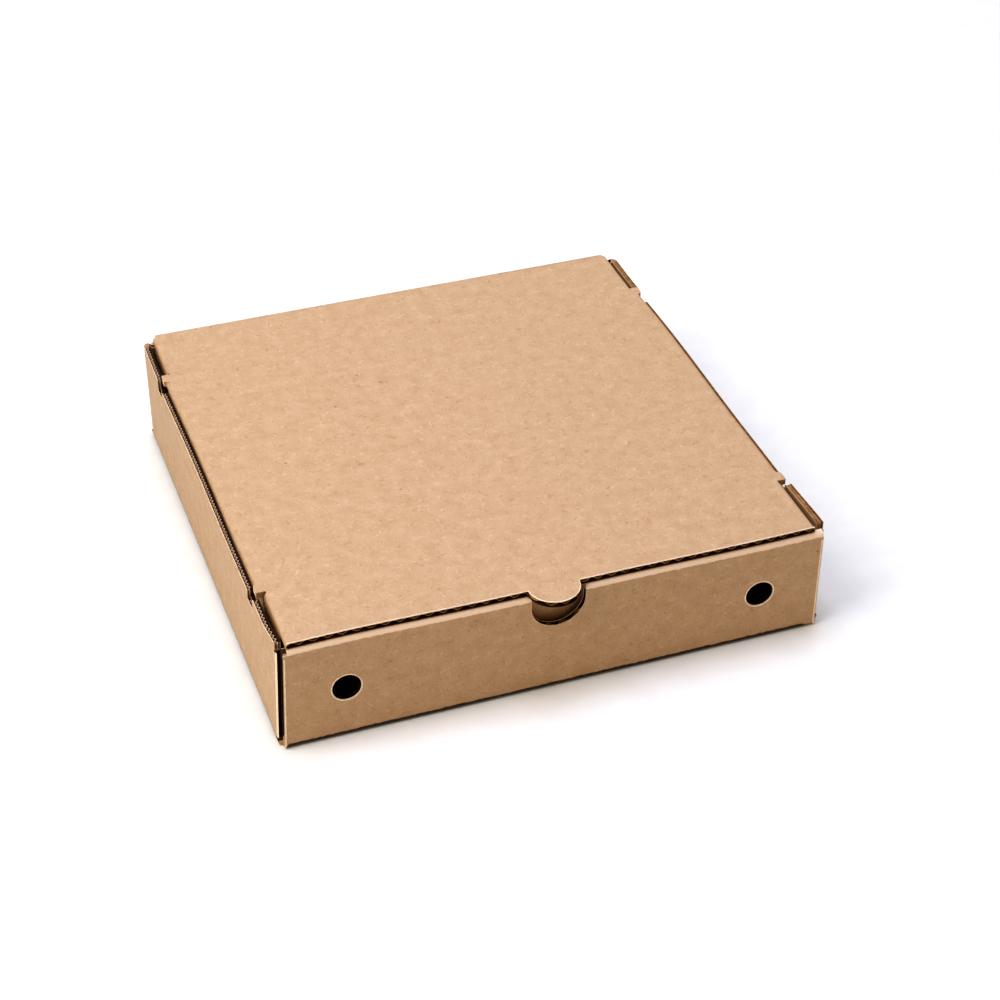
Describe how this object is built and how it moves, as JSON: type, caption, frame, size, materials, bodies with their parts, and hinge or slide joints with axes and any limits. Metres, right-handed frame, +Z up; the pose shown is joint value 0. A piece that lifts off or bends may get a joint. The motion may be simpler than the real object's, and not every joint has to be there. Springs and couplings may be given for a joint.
{
  "type": "pizza box",
  "caption": "Square kraft pizza box folded from one fluted blank, with a hinged lid, tuck flaps, a rolled front wall, a thumb tab and steam vents.",
  "frame": {"origin": "middle of the base's underside", "axes": "+X to the right across the box, +Y from the front wall to the back wall, +Z up"},
  "size_m": [0.26, 0.2705, 0.0585],
  "materials": {
    "tray_board": "uncoated kraft",
    "lid_board": "uncoated kraft"
  },
  "bodies": {
    "tray": {"tray": "tray_board"},
    "lid": {"lid": "lid_board"}
  },
  "joints": [
    {"name": "lid_hinge", "type": "hinge", "parent": "tray", "child": "lid", "pos_m": [0, 0.1285, 0.057], "axis": [-1, 0, 0], "range_deg": [0, 190]}
  ]
}
